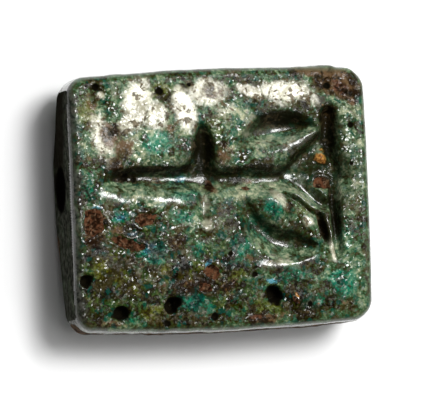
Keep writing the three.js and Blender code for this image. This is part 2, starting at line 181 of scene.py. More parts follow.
# Patches of colour: x, y, half length, half width, turn in degrees, strength
PATCHES = {
    "brown": [
        (5.75, 5.3, 1.3, 0.72, -32, 1.3), (4.6, 5.85, 1.1, 0.3, -4, 1.2), (6.5, 4.6, 0.35, 0.6, 0, 0.9),
        (4.8, -1.6, 0.2, 0.7, 15, 1), (5.35, 3.6, 0.4, 0.7, 0, 0.7), (1.8, -5.7, 1, 0.3, 0, 0.8),
        (-5.2, 3.2, 0.6, 0.7, 20, 0.9), (-4.6, 2.5, 0.5, 0.6, 0, 0.85), (-5, 1.7, 0.5, 0.5, 0, 0.7),
        (-4.3, 1.7, 0.6, 0.3, 0, 0.6), (-2.3, 3.4, 0.4, 0.3, 20, 0.6), (0.2, 2.2, 0.4, 0.6, 0, 0.5),
        (-3.4, 0.98, 1.6, 0.2, 0, 0.35), (1.2, 0.75, 0.6, 0.25, 0, 0.6), (-0.4, 0.5, 0.3, 0.3, 0, 0.5),
        (-4.5, 1.15, 0.8, 0.25, 0, 0.6), (-3.9, -2.9, 0.8, 0.25, -25, 0.5), (-1.9, -4.2, 1.3, 0.35, 5, 0.5),
        (0.2, -4.3, 0.9, 0.5, -30, 0.5), (-5.6, -5.6, 1, 0.3, 0, 0.5), (1.3, -2.9, 0.5, 0.3, -30, 0.5),
        (-0.2, 5, 0.9, 0.5, 0, 0.5), (-5.9, 4.9, 0.6, 0.6, 0, 0.5), (-6.3, 1.9, 0.35, 0.7, 0, 0.4),
        (-2.3, -2, 0.7, 0.4, 30, 0.6), (-6.2, -1.6, 0.5, 0.5, 0, 0.9), (-1.3, -3.9, 1.4, 0.25, 5, 0.7),
        (-5, -1.3, 0.6, 0.2, 0, 0.6), (2.6, 3.45, 0.9, 0.3, 0, 0.4), (3.3, -5.5, 1.6, 0.25, 3, 0.4),
        (-0.8, 2.9, 0.35, 0.6, 0, 0.4), (6, -5.2, 0.6, 0.35, 0, 0.4)],
    "rust": [
        (-0.45, 0.6, 0.22, 0.34, 10, 0.8), (1.25, 0.42, 0.26, 0.12, -10, 0.8),
        (-3.4, -0.8, 0.9, 0.5, 0, 0.35), (6, 5, 0.7, 0.4, -35, 0.6), (-3, -4, 0.8, 0.2, 10, 0.4),
        (4.75, -1.6, 0.15, 0.5, 15, 0.6), (0.5, -3.9, 0.4, 0.25, -30, 0.4),
        (3.4, -4.9, 0.3, 0.12, -50, 0.8), (1.5, -5.6, 0.6, 0.15, 0, 0.5)],
    "amber": [
        (5, 1.72, 0.36, 0.24, -20, 1), (3.45, -4.7, 0.22, 0.1, -50, 0.7), (5.1, 2.1, 0.15, 0.2, 0, 0.5)],
    # Cream: whitish weathered glaze, and painted highlights on the lips, the boss, the slit and the ring
    # bubble
    "cream_and_painted_highlight": [
        (-3.85, 4.6, 0.72, 1.25, -12, 1), (-3, 4, 0.6, 0.7, 0, 0.8), (-1.6, 4.2, 0.55, 1.1, 15, 1),
        (-0.4, 5, 1, 0.65, 0, 1), (1.6, 5, 0.75, 0.28, -20, 1), (3.3, 4.95, 1.3, 0.5, 0, 1),
        (-5.6, 3.1, 0.55, 1.1, 15, 0.75), (-4.4, 3.6, 0.5, 0.4, 0, 0.8), (4.6, 4.5, 0.3, 0.5, 40, 0.5),
        (-5.3, 1.9, 0.3, 0.5, 0, 0.4), (0.4, 4.2, 0.5, 0.4, 0, 0.4), (3, 4.4, 0.6, 0.3, 0, 0.4),
        (2.7, 0, 0.5, 0.25, -35, 0.7), (3.5, 2.6, 0.5, 0.3, 20, 0.5), (4.1, -1.25, 0.3, 0.3, 0, 0.6),
        (2.6, -3.1, 0.8, 0.2, 5, 0.5), (-0.8, -1.2, 0.25, 0.3, 0, 0.6), (-5.57, 5.05, 0.2, 0.18, 0, 0.9),
        (5.22, -2.6, 0.12, 0.6, 12, 0.9), (2.95, -0.3, 0.22, 0.5, 35, 0.6),
        (-0.8, -0.1, 0.25, 0.6, 0, 0.35), (2.3, 2.6, 0.7, 0.25, 20, 0.3), (1.4, 3.2, 0.25, 0.6, -30, 0.35)],
    "teal": [
        (-4.9, -0.7, 0.5, 0.3, 0, 0.8), (-3.4, -2.5, 0.9, 0.6, 30, 1), (-1.5, -4.8, 0.9, 0.45, -20, 1.1),
        (5.6, -4.1, 0.8, 0.9, 0, 0.7), (2.4, -0.5, 0.6, 0.6, 0, 0.7), (-3, 2.7, 0.8, 0.7, 0, 0.7),
        (-1.9, -0.8, 0.7, 0.4, 0, 0.5), (0.9, -2.3, 0.7, 0.9, 0, 0.5), (3.1, -3.8, 0.9, 0.5, 0, 0.6),
        (-1.6, 0.2, 1, 0.3, 0, 0.6), (1.9, -1.5, 0.9, 0.4, -40, 0.7), (-6.3, 0.8, 0.5, 0.9, 0, 0.5),
        (1.2, 1.5, 0.8, 0.4, 0, 0.5), (-4.5, -5.4, 0.7, 0.3, 0, 0.5), (3.2, 2.7, 0.8, 0.4, 0, 0.5),
        (5.9, -2, 0.5, 1, 0, 0.4), (-2, 1, 0.6, 0.4, 0, 0.7), (-5.9, -4.6, 0.6, 0.5, 0, 0.4),
        (4.2, -5, 0.7, 0.4, 0, 0.6), (-1.1, -2.4, 0.5, 0.5, 0, 0.5)],
    "blue": [
        (-1.8, 1, 0.32, 0.16, 10, 1), (-4.9, -0.72, 0.22, 0.14, 0, 0.8), (-3.6, -2.2, 0.4, 0.25, 30, 0.6),
        (2.3, -3.95, 0.4, 0.15, 0, 0.6), (-0.8, -3.05, 0.3, 0.12, 40, 0.9), (-4.4, -1.5, 0.4, 0.1, 0, 0.6),
        (-1.2, 1.9, 0.2, 0.3, 0, 0.4), (-5.9, -0.2, 0.3, 0.12, 0, 0.6)],
    # Soot near the corner crust, and painted shade on the strokes' upper walls, in the upper lobe's
    # crescent and in the bars
    "soot_and_shade": [
        (5.36, 2.7, 0.36, 1.2, 0, 1), (5, 5.5, 0.5, 0.16, -10, 0.5), (6.3, 4.75, 0.4, 0.2, -30, 0.7),
        (5.6, 4.75, 0.5, 0.14, -35, 0.6), (5.42, -0.7, 0.26, 1.5, 4, 0.9), (3.05, 3.7, 1.2, 0.36, 0, 1.1),
        (-3.4, 1.5, 1.7, 0.2, 0, 0.8), (-4.7, 1.2, 0.6, 0.3, 0, 0.9), (1.5, 1.4, 1.9, 0.18, 0, 0.8),
        (2.6, -1.75, 1, 0.26, -20, 0.45), (4.85, -1.6, 0.2, 0.75, 12, 1), (-0.75, 2.3, 0.55, 1.3, 0, 1),
        (-1.6, 1.5, 0.6, 0.25, 15, 0.8), (1.6, 3.3, 0.6, 0.2, 30, 0.6), (0.9, 0.8, 0.5, 0.25, 0, 0.6),
        (-0.5, 0.6, 0.3, 0.3, 0, 0.6), (-5.2, 3.3, 0.25, 0.3, 0, 0.6), (-4.6, 2.2, 0.4, 0.4, 0, 0.5),
        (5.2, 3.6, 0.4, 0.3, 0, 0.7)],
    # Lighter ground: partly lighter glaze, partly painted light on the strokes' lit walls and painted sheen
    # on the upper face
    "lighter_and_painted_light": [
        (-3.4, 2.6, 2, 1.3, 0, 1.2), (5.9, -3, 1, 1.6, 0, 0.9), (6.2, 3, 0.9, 1.5, 0, 0.6),
        (-6.2, 3.4, 0.7, 2, 0, 0.7), (3, 2.5, 1.3, 0.6, 10, 1), (-3.4, 0.25, 2.2, 0.5, -3, 1.5),
        (0.8, 3.6, 1, 1.4, 0, 1), (6.3, 1.5, 0.6, 3.5, 0, 0.9), (1.2, 0.2, 2, 0.4, 0, 1.2),
        (-2, -0.9, 1.2, 0.6, 0, 0.6), (4, -2.9, 1.3, 0.4, 0, 0.5), (6, -3.4, 0.8, 1.5, 0, 0.3)],
    "deep": [
        (-5, -3, 2.6, 2.6, 0, 1.2), (-6.3, 0, 0.7, 1.6, 0, 0.5), (-1, -3.9, 3, 2, 0, 0.9),
        (3, -4.9, 2.6, 0.9, 0, 0.6), (0.4, -2, 1.4, 1.4, 0, 0.6), (-4.8, -0.9, 1.8, 0.7, -5, 0.9),
        (4.8, 0.9, 0.8, 1.1, 0, 0.7), (-0.75, 2.3, 0.5, 1, 0, 0.8), (-0.6, 0.6, 0.6, 0.5, 0, 0.7)],
    "olive": [
        (-5.5, -3.1, 0.9, 0.8, 0, 0.9), (-6.2, -4.6, 0.6, 0.8, 0, 0.5), (-6.3, 4.2, 0.6, 1.1, 0, 0.6),
        (2, -5.2, 1.2, 0.5, 0, 0.5), (-2.8, 5.2, 0.8, 0.5, 0, 0.7), (-0.1, 3, 0.7, 0.9, 0, 0.4),
        (-1.3, -3.4, 0.9, 0.6, 20, 0.6), (-3.6, -5.2, 0.8, 0.4, 0, 0.6), (-4.5, -4, 0.8, 0.5, 0, 0.6),
        (0.6, -3.6, 0.8, 0.4, 0, 0.5), (-3, -3.2, 0.6, 0.3, 0, 0.5), (3.9, -0.5, 0.7, 0.6, -30, 0.4)],
}
# The masks go to the material three at a time, as the channels of a colour
MASK_SETS = {
    "stain": ("brown", "rust", "amber"), "hue": ("teal", "blue", "olive"), "light": ("cream_and_painted_highlight", "pit"),
    "ground": ("bare", "side", "bore"), "ends": ("end", "end_stain", "flake"),
    "gloss_soot_painted_shade_and_light": ("melted", "soot_and_shade", "lit_pale"), "shade": ("painted_hollow_shade", "lighter_and_painted_light", "deep"),
}


def smooth(low, high, value):
    t = np.clip((value - low) / (high - low), 0, 1)
    return t * t * (3 - 2 * t)


def fade(name, value):
    return smooth(*FADES[name], value)


def ridge(away, place, width):
    return np.exp(-((away - place) / width) ** 2)


def lattice(i, j, k, seed):
    """A fixed random number from -1 to 1 at each whole-numbered place."""
    n = (i * 374761393 + j * 668265263 + k * 2147483647 + seed * 974634777) & 0xFFFFFFFF
    n = ((n ^ (n >> 13)) * 1274126177) & 0xFFFFFFFF
    n = ((n ^ (n >> 16)) * 2246822519) & 0xFFFFFFFF
    return ((n ^ (n >> 15)) & 0xFFFFFF) / 0x7FFFFF - 1


def waves(x, y, z, size, seed):
    """Smooth random hills, from about -1 to 1, that are size mm apart."""
    cells = [np.floor(v / size).astype(np.int64) for v in (x, y, z)]
    fx, fy, fz = (v / size - c for v, c in zip((x, y, z), cells))
    fx, fy, fz = (f * f * f * (f * (f * 6 - 15) + 10) for f in (fx, fy, fz))
    total = 0
    for di in (0, 1):
        for dj in (0, 1):
            for dk in (0, 1):
                weight = (fx if di else 1 - fx) * (fy if dj else 1 - fy) * (fz if dk else 1 - fz)
                total = total + weight * lattice(cells[0] + di, cells[1] + dj, cells[2] + dk, seed)
    return total


def hills(name, x, y, z):
    return sum(height * waves(x, y, z, size, seed) for height, size, seed in HILLS[name])


def spline(cuts):
    """The cuts of a stroke, with more between them on a smooth line."""
    c = np.array(cuts, float)
    padded = np.vstack([2 * c[0] - c[1], c, 2 * c[-1] - c[-2]])
    out = []
    for a, b, d, e in zip(padded, padded[1:], padded[2:], padded[3:]):
        for k in range(SPLINE_STEPS):
            t = k / SPLINE_STEPS
            out.append(0.5 * (2 * b + (d - a) * t + (2 * a - 5 * b + 4 * d - e) * t * t
                              + (3 * b - a - 3 * d + e) * t ** 3))
    return out + [c[-1]]


def stroke_share(lean, cuts, x, y, foot=WALL_FOOT, top=WALL_TOP):
    """A stroke's depth. Its walls run from foot to top, counted in half widths from its middle."""
    deepest = np.zeros_like(x)
    line = spline(cuts)
    for (ax, ay, aw, ad), (bx, by, bw, bd) in zip(line, line[1:]):
        rx, ry = bx - ax, by - ay
        run = math.hypot(rx, ry)
        t = np.clip(((x - ax) * rx + (y - ay) * ry) / (run * run), 0, 1)
        dx, dy = x - ax - t * rx, y - ay - t * ry
        off = np.hypot(dx, dy)
        to_left = (rx * dy - ry * dx) / (run * np.maximum(off, TINY))
        away = off / ((aw + (bw - aw) * t) * (1 - lean * to_left))
        deepest = np.maximum(deepest, (ad + (bd - ad) * t) * (1 - smooth(foot, top, away)))
    return deepest


def hollow(x, y):
    """The wide, shallow hollow that the strokes lie in, from 0 to 1."""
    left = np.ones_like(x)
    for lean, cuts in STROKES.values():
        left = left * (1 - HOLLOW_SHARE * stroke_share(HOLLOW_LEAN * lean, cuts, x, y, top=HOLLOW_REACH))
    return 1 - left


def carved(x, y):
    """The sign's depth. Its lines wander a little from the straight, as a hand cuts them."""
    wander_x, wander_y = x + hills("wander_x", x, y, 0 * x), y + hills("wander_y", x, y, 0 * x)
    left = np.ones_like(x)
    for lean, cuts in [*STROKES.values(), *BOSS_GROOVES.values()]:
        left = left * (1 - stroke_share(lean, cuts, wander_x, wander_y))
    return (CARVING_DEPTH - HOLLOW_DEPTH) * (1 - left) + HOLLOW_DEPTH * hollow(x, y)


def lip_rise(x, y):
    return np.max([stroke_share(0, cuts, x, y, 0, LIP_REACH) for cuts in LIPS], axis=0)


def patch(x, y, cx, cy, rx, ry, turn):
    """How far a point is from the middle of a turned ellipse, where 1 is its outline."""
    c, s = math.cos(math.radians(turn)), math.sin(math.radians(turn))
    along, across = (x - cx) * c + (y - cy) * s, (y - cy) * c - (x - cx) * s
    return np.hypot(along / rx, across / ry)


def ragged(x, y):
    """A factor near 1 that makes the outlines of pits and flakes uneven."""
    return 1 + hills("outlines", x, y, 0 * x)


def glaze_line(x, y, z):
    """The height on the near long side, as the wavering foot of its glaze sees it."""
    return z + hills("glaze_line", x, y, 0 * z)


def bowed(x, y):
    """The y that the bowed long sides give a point of the square plan."""
    return y * (1 - SIDE_BOW / HALF_WIDTH * (x / HALF_LENGTH) ** 2)


def plan_y(x, y):
    """The y that a point of the finished plaque had in the square plan."""
    return (y - SIDE_SLANT * x) / (1 - SIDE_BOW / HALF_WIDTH * (x / HALF_LENGTH) ** 2)


def inset_of(x, y):
    """How far a point of the square plan lies in from its rounded outline."""
    out_x, out_y = np.abs(x) - (HALF_LENGTH - CORNER_RADIUS), np.abs(y) - (HALF_WIDTH - CORNER_RADIUS)
    beyond = np.hypot(np.maximum(out_x, 0), np.maximum(out_y, 0))
    return CORNER_RADIUS - beyond - np.minimum(np.maximum(out_x, out_y), 0)


def inset_at(x, y):
    """How far a point of the finished plaque lies in from its outline."""
    return inset_of(x, plan_y(x, y))


def edge_fall(inset, radius):
    left = np.clip(radius - inset, 0, radius)
    return radius - np.sqrt(np.maximum(radius * radius - left * left, 0))


def face_height(x, y):
    """The face's height over a point of the square plan. Its sign and flaws have places of their own."""
    inset = inset_of(x, y)
    z = THICKNESS - FACE_CROWN * np.abs(y / HALF_WIDTH) ** CROWN_POWER - edge_fall(inset, FACE_EDGE_RADIUS)
    y = bowed(x, y)
    flat = 0 * x
    z = z - carved(x, y) + lip_rise(x, y)
    z = z + fade("face_hills", inset) * (hills("face", x, y, flat) - FACE_SINK)
    for *place, height in LUMPS:
        z = z + height * (1 - fade("lump", patch(x, y, *place)))
    crust = (1 - fade("crust", patch(x, y, *CRUST))) * fade("crust_inset", inset)
    z = z + crust * (hills("crust", x, y, flat) - CRUST_SINK)
    uneven = ragged(x, y)
    for place in FLAKES:
        away = patch(x, y, *place) * uneven
        z = z + RIM_HEIGHT * ridge(away, RIM_PLACE, RIM_WIDTH)
        z = z + (1 - fade("flake", away)) * (hills("flake", x, y, flat) - FLAKE_DEPTH)
    for cx, cy, radius, depth in PITS:
        z = z - depth * (1 - fade("pit", np.hypot(x - cx, y - cy) / radius * uneven))
    ring = np.hypot(x - RING_X, y - RING_Y)
    z = z - RING_DEPTH * ridge(ring, RING_RADIUS, RING_WIDTH)
    return z + RING_BOSS_HEIGHT * ridge(ring, 0, RING_BOSS_WIDTH)


def back_height(x, y):
    """The back's height: a flat strip to rest on, with a slope on each side of it."""
    from_flat = np.maximum(np.abs(y - FLAT_OFFSET) - FLAT_WIDTH / 2, 0)
    side = np.where(y > FLAT_OFFSET, HALF_WIDTH - FLAT_OFFSET, HALF_WIDTH + FLAT_OFFSET)
    rough = fade("back_rough", from_flat) * hills("back", x, y, 0 * x)
    climb = BACK_RISE * from_flat / (side - FLAT_WIDTH / 2)
    return climb + edge_fall(inset_of(x, y), BACK_EDGE_RADIUS) + np.abs(rough)


def grid_lines(half, radius, step):
    turn = np.arange(EDGE_STEPS) / EDGE_STEPS * math.pi / 2
    edge = half - radius * (1 - np.cos(turn))
    flat = half - radius
    between = np.linspace(-flat, flat, math.ceil(2 * flat / step) + 1)
    return np.concatenate([-edge, between, edge[::-1]])


def round_corners(x, y):
    """Moves the corner squares of a grid onto the plan's quarter circles."""
    flat_x, flat_y = HALF_LENGTH - CORNER_RADIUS, HALF_WIDTH - CORNER_RADIUS
    out_x, out_y = (np.abs(x) - flat_x) / CORNER_RADIUS, (np.abs(y) - flat_y) / CORNER_RADIUS
    corner = (out_x > 0) & (out_y > 0)
    moved_x = np.sign(x) * (flat_x + CORNER_RADIUS * out_x * np.sqrt(np.maximum(1 - out_y ** 2 / 2, 0)))
    moved_y = np.sign(y) * (flat_y + CORNER_RADIUS * out_y * np.sqrt(np.maximum(1 - out_x ** 2 / 2, 0)))
    return np.where(corner, moved_x, x), np.where(corner, moved_y, y)


def sheet(radius, step, height_at, first):
    """Points, quads and the outline's loop (point number, place along) of one side of the plaque."""
    xs, ys = grid_lines(HALF_LENGTH, radius, step), grid_lines(HALF_WIDTH, radius, step)
    gx, gy = np.meshgrid(xs, ys, indexing="ij")
    px, py = round_corners(gx, gy)
    points = np.stack([px, bowed(px, py) + SIDE_SLANT * px, height_at(px, py)], -1).reshape(-1, 3)
    number = first + np.arange(gx.size).reshape(gx.shape)
    quads = np.stack([number[:-1, :-1], number[1:, :-1], number[1:, 1:], number[:-1, 1:]], -1)
    loop = [(number[i, 0], xs[i] + HALF_LENGTH) for i in range(len(xs) - 1)]
    loop += [(number[-1, j], LENGTH + ys[j] + HALF_WIDTH) for j in range(len(ys) - 1)]
    loop += [(number[i, -1], LENGTH + WIDTH + HALF_LENGTH - xs[i]) for i in range(len(xs) - 1, 0, -1)]
    loop += [(number[0, j], 2 * LENGTH + WIDTH + HALF_WIDTH - ys[j]) for j in range(len(ys) - 1, 0, -1)]
    return points, quads.reshape(-1, 4), loop


def zipper(lower, upper):
    """Triangles between two loops whose points need not match in number."""
    around = 2 * (LENGTH + WIDTH)
    faces, i, j = [], 0, 0
    while i < len(lower) or j < len(upper):
        next_lower = lower[(i + 1) % len(lower)][1] + (around if i + 1 >= len(lower) else 0)
        next_upper = upper[(j + 1) % len(upper)][1] + (around if j + 1 >= len(upper) else 0)
        a, b = lower[i % len(lower)][0], upper[j % len(upper)][0]
        if j == len(upper) or (i < len(lower) and next_lower <= next_upper):
            i += 1
            faces.append((a, lower[i % len(lower)][0], b))
        else:
            j += 1
            faces.append((a, upper[j % len(upper)][0], b))
    return faces


def outward(x, y):
    """The way out of the plan at each point, as a unit vector."""
    gx = inset_at(x + OUTWARD_STEP, y) - inset_at(x - OUTWARD_STEP, y)
    gy = inset_at(x, y + OUTWARD_STEP) - inset_at(x, y - OUTWARD_STEP)
    size = np.maximum(np.hypot(gx, gy), TINY)
    return -gx / size, -gy / size


def side_swell(p):
    """How far the sides stand out from the plain plaque: runs of glaze, a rough strip and a crust."""
    x, y, z = p.T
    strip = fade("near_side", -y) * (1 - fade("strip_top", glaze_line(x, y, z))) * fade("strip_foot", z)
    crust = fade("side_crust_left", x) * (1 - fade("side_crust_right", x)) * fade("side_crust_foot", z)
    swell = hills("side", x, y, z) + strip * (STRIP_SWELL + hills("strip", x, y, z))
    swell = swell + fade("far_side", y) * crust * (SIDE_CRUST_SWELL + hills("side_crust", x, y, z))
    near = 1 - fade("in_from_side", inset_at(x, y))
    return near * swell * (1 - ENDS_SPARED * fade("ends_spared", np.abs(x)))


def mesh_of(name, points, faces):
    mesh = bpy.data.meshes.new(name)
    mesh.from_pydata(points, [], faces)
    return mesh


def in_scene(name, data):
    made = bpy.data.objects.new(name, data)
    bpy.context.scene.collection.objects.link(made)
    return made


def plaque_mesh():
    """The back and the face as two sheets, joined by rings of points up the sides."""
    back, back_quads, back_loop = sheet(BACK_EDGE_RADIUS, BACK_STEP, back_height, 0)
    points, faces = [back], [tuple(q[::-1]) for q in back_quads.tolist()]
    count, size = len(back), len(back_loop)
    ring_xy = np.array([back[n][:2] for n, _ in back_loop])
    low = np.array([back[n][2] for n, _ in back_loop])
    high = face_height(ring_xy[:, 0], plan_y(ring_xy[:, 0], ring_xy[:, 1]))
    below = back_loop
    for k in range(1, WALL_RINGS):
        points.append(np.column_stack([ring_xy, low + (high - low) * k / WALL_RINGS]))
        ring = [(count + i, along) for i, (_, along) in enumerate(back_loop)]
        count += size
        faces += [(below[i][0], below[(i + 1) % size][0], ring[(i + 1) % size][0], ring[i][0])
                  for i in range(size)]
        below = ring
    face, face_quads, face_loop = sheet(FACE_EDGE_RADIUS, FACE_STEP, face_height, count)
    faces += [tuple(q) for q in face_quads.tolist()] + zipper(below, face_loop)
    points = np.vstack([*points, face])
    out_x, out_y = outward(points[:, 0], points[:, 1])
    swell = side_swell(points)
    points[:, 0] += out_x * swell
    points[:, 1] += out_y * swell
    return mesh_of("glazed_plaque", (points * MM).tolist(), faces)


def bore_cutter():
    """A closed solid, turned about the bore's axis, that flares at the mouths and is worn between them."""
    xs = np.linspace(-HALF_LENGTH - BORE_OVERRUN, HALF_LENGTH + BORE_OVERRUN, BORE_STATIONS)
    into_mouth = np.clip((np.abs(xs) - (HALF_LENGTH - MOUTH_LENGTH)) / MOUTH_LENGTH, 0, 1)
    wear = hills("bore", xs, 0 * xs, 0 * xs) - BORE_SINK
    radii = BORE_RADIUS + MOUTH_FLARE * into_mouth ** MOUTH_POWER + wear * (1 - into_mouth)
    points, faces = [], []
    for x, radius in zip(xs, radii):
        for s in range(BORE_SIDES):
            turn = 2 * math.pi * s / BORE_SIDES
            points.append((x * MM, (BORE_OFFSET + radius * math.cos(turn)) * MM,
                           (BORE_HEIGHT + radius * math.sin(turn)) * MM))
    for k in range(0, len(points) - BORE_SIDES, BORE_SIDES):
        for s in range(BORE_SIDES):
            t = (s + 1) % BORE_SIDES
            faces.append((k + s, k + BORE_SIDES + s, k + BORE_SIDES + t, k + t))
    faces.append(tuple(range(BORE_SIDES)))
    faces.append(tuple(reversed(range(len(points) - BORE_SIDES, len(points)))))
    return mesh_of("bore_cutter", points, faces)


def pierce(plaque):
    cutter = in_scene("bore_cutter", bore_cutter())
    cut = plaque.modifiers.new("bore", "BOOLEAN")
    cut.operation, cut.solver, cut.object = "DIFFERENCE", "EXACT", cutter
    bpy.context.view_layer.update()
    pierced = bpy.data.meshes.new_from_object(plaque.evaluated_get(bpy.context.evaluated_depsgraph_get()))
    plaque.modifiers.clear()
    plaque.data = pierced
    bpy.data.objects.remove(cutter)


def painted(x, y, patches):
    spots = [strength * (1 - fade("patch", patch(x, y, *place))) for *place, strength in patches]
    return np.max(spots, axis=0)


def flaw_masks(x, y):
    """Where pits and flakes lie, and where the rims of the flakes are glossy."""
    uneven = ragged(x, y)
    flakes = [patch(x, y, *place) * uneven for place in FLAKES]
    pits = [np.hypot(x - cx, y - cy) / radius * uneven for cx, cy, radius, _ in PITS]
    broken = fade("rim_breaks", hills("rim_breaks", x, y, 0 * x))
    rims = np.max([RIM_GLOSS * broken * ridge(away, RIM_PLACE, RIM_GLOSS_WIDTH) for away in flakes], axis=0)
    pits, flakes = np.min(pits, axis=0), np.min(flakes, axis=0)
    return 1 - fade("pit_colour", pits), 1 - fade("flake_colour", flakes), rims


def masks_of(p):
    """Where each look lies, from 0 to 1, on points p in millimetres."""
    x, y, z = p.T
    inset = inset_at(x, y)
    y = y - SIDE_SLANT * x
    on_face = fade("on_face", z) * fade("in_from_edge", inset)
    masks = {name: painted(x, y, patches) * on_face for name, patches in PATCHES.items()}

    depth = carved(x, y)
    toward_light = (carved(x, y + SLOPE_STEP) - carved(x, y - SLOPE_STEP)) / (2 * SLOPE_STEP)
    # Painted shade: the hollows round the strokes are darkened, less on the walls that face the lamp
    masks["painted_hollow_shade"] = hollow(x, y) * (1 - LIT_CLEARED * fade("lit", toward_light)) * on_face
    # Painted shade: walls that face away from the lamp are darkened, on top of the soot patches
    masks["soot_and_shade"] = np.maximum(masks["soot_and_shade"], PAINTED_WALL_SHADE * fade("shaded", -toward_light) * on_face)
    # Painted light: walls that face the lamp are paler, less so on the floors of the strokes
    masks["lit_pale"] = fade("lit_pale", toward_light) * (1 - FLOOR_CLEARED * fade("floor", depth)) * on_face

    pits, flakes, rims = flaw_masks(x, y)
    masks["pit"], masks["flake"] = pits * on_face, flakes * on_face
    dry = np.min([patch(x, y, *place) for place in DRY], axis=0)
    melted = np.max([SUNK_GLOSS * fade("sunk_gloss", depth), fade("floor_gloss", depth),
                     1 - fade("in_from_gloss", inset), fade("lip_gloss", lip_rise(x, y))], axis=0)
    masks["melted"] = np.maximum(melted * fade("dry", dry), rims)

    strip = fade("near_side", -y) * (1 - fade("bare_top", glaze_line(x, y, z))) * fade("bare_foot", z)
    bare_back = (1 - fade("bare_back_top", z)) * fade("bare_back", hills("bare_back", x, y, z))
    masks["bare"] = np.maximum(strip, bare_back)
    masks["side"] = 1 - fade("in_from_edge_colour", inset)

    waver = hills("end", x, y, z)
    masks["end"] = fade("end", waver - x) * fade("end_foot", z + waver)
    masks["end_stain"] = (fade("end_stain", waver - x) * fade("end_stain_side", y + waver)
                          * (1 - fade("end_stain_top", z - END_STAIN_RISE * y + waver)))
    # Painted shade: the bore is darkened nearly to black, less towards its far mouth
    bored = np.hypot(y - BORE_OFFSET, z - BORE_HEIGHT)
    masks["bore"] = (1 - fade("bore_wall", bored)) * (1 - BORE_LIGHTER * fade("bore_far_end", x))
    return masks


def write_masks(mesh):
    count = len(mesh.vertices)
    co = np.empty(count * 3, np.float32)
    mesh.vertices.foreach_get("co", co)
    masks = masks_of(co.reshape(-1, 3).astype(float) / MM)
    for name, members in MASK_SETS.items():
        values = np.ones((count, 4), np.float32)
        for channel, member in enumerate(members):
            values[:, channel] = masks[member]
        mesh.color_attributes.new(name, "FLOAT_COLOR", "POINT").data.foreach_set("color", values.ravel())


# The material's noises: size in mm, detail, roughness, distortion, offset
NOISES = {
    "clouds": (0.8, 4, 0.6, 0.4, 0.013),
    "grain": (0.16, 3, 0.6, 0.0, 0.027),
    "tear": (0.28, 4, 0.65, 0.3, 0.055),
    "rip": (0.9, 6, 0.68, 0.8, 0.071),
    "scales": (0.4, 4, 0.6, 0.5, 0.083),
    "dents": (0.5, 3, 0.55, 0.2, 0.1),
}
CRYSTAL_SIZE, FACET_SIZE = 0.2, 0.085
WARP_SIZE, WARP_REACH = 0.8, 1.2
OFFSET_WAY = (1, 0.7, -0.4)
# The ground's tone from 0 to 1, and the shares that the crystals, their facets and the patches have in it
CRYSTAL_TONE, FACET_TONE, LIGHTER_AND_PAINTED_LIGHT_TONE, DEEP_TONE, TONE_SCALE = 0.42, 0.18, 0.27, 0.13, 0.75
CLOUD_TONE, GRAIN_TONE = (0.32, 0.68, 0.12, 0.84), (0.3, 0.7, -0.2, 0.2)
TONES = [(0.0, (0.005, 0.004, 0.0015)), (0.165, (0.013, 0.011, 0.004)), (0.3, (0.03, 0.03, 0.011)),
         (0.405, (0.03, 0.052, 0.026)), (0.54, (0.06, 0.105, 0.062)), (0.75, (0.2, 0.235, 0.16)),
         (1.0, (0.46, 0.46, 0.34))]
# What mixes each look's two colours: a noise or the tone, and the values where the mix starts and is full
COLOURS = {
    "teal": ("tone", 0.2, 0.8, (0.001, 0.025, 0.018), (0.01, 0.2, 0.14)),
    "olive": ("tone", 0.25, 0.75, (0.02, 0.016, 0.004), (0.11, 0.11, 0.035)),
    "cream_and_painted_highlight": ("clouds", 0.4, 0.6, (0.36, 0.34, 0.23), (0.8, 0.77, 0.6)),
    "blue": ("tone", 0.3, 0.7, (0.008, 0.035, 0.05), (0.09, 0.32, 0.42)),
    # Walls that face the lamp get a paler colour, as painted light
    "lit_pale": ("tone", 0.3, 1.1, (0.03, 0.05, 0.028), (0.3, 0.38, 0.25)),
    "brown": ("tone", 0.3, 0.8, (0.014, 0.006, 0.002), (0.105, 0.052, 0.022)),
    "rust": ("tear", 0.42, 0.6, (0.012, 0.005, 0.002), (0.095, 0.038, 0.018)),
    "amber": ("grain", 0.4, 0.6, (0.14, 0.05, 0.01), (0.5, 0.24, 0.06)),
    "scale": ("grain", 0.4, 0.6, (0.035, 0.024, 0.012), (0.13, 0.095, 0.052)),
    "edge": ("clouds", 0.4, 0.6, (0.05, 0.065, 0.036), (0.11, 0.14, 0.09)),
    "end": ("tear", 0.4, 0.62, (0.008, 0.008, 0.007), (0.06, 0.06, 0.05)),
    "core": ("tear", 0.4, 0.6, (0.01, 0.006, 0.004), (0.085, 0.05, 0.026)),
}
TAN_DARK, TAN_LIGHT, TAN_BRIGHTENED = (0.05, 0.035, 0.012), (0.17, 0.15, 0.09), 0.8
GREEN_CRYSTAL, DEEP_TINT, HAZE_AND_PAINTED_SHEEN = (0.006, 0.06, 0.046), (0.38, 0.35, 0.17), (0.24, 0.25, 0.17)
# The first colour here is painted shade for the strokes' hollows; the soot colours paint soot and also
# shade on walls turned from the lamp
PAINTED_HOLLOW_SHADE, SOOT_AND_SHADE_TINT, SOOT_AND_SHADE = (0.015, 0.016, 0.006), (0.26, 0.36, 0.24), (0.006, 0.005, 0.002)
PIT, STAIN, PAINTED_BORE_SHADE = (0.005, 0.004, 0.002), (0.008, 0.006, 0.004), (0.0015, 0.0012, 0.001)
RUST_FLECK, CORE_FLECK = (0.2, 0.12, 0.07), (0.14, 0.09, 0.055)
SATURATION = 1.4
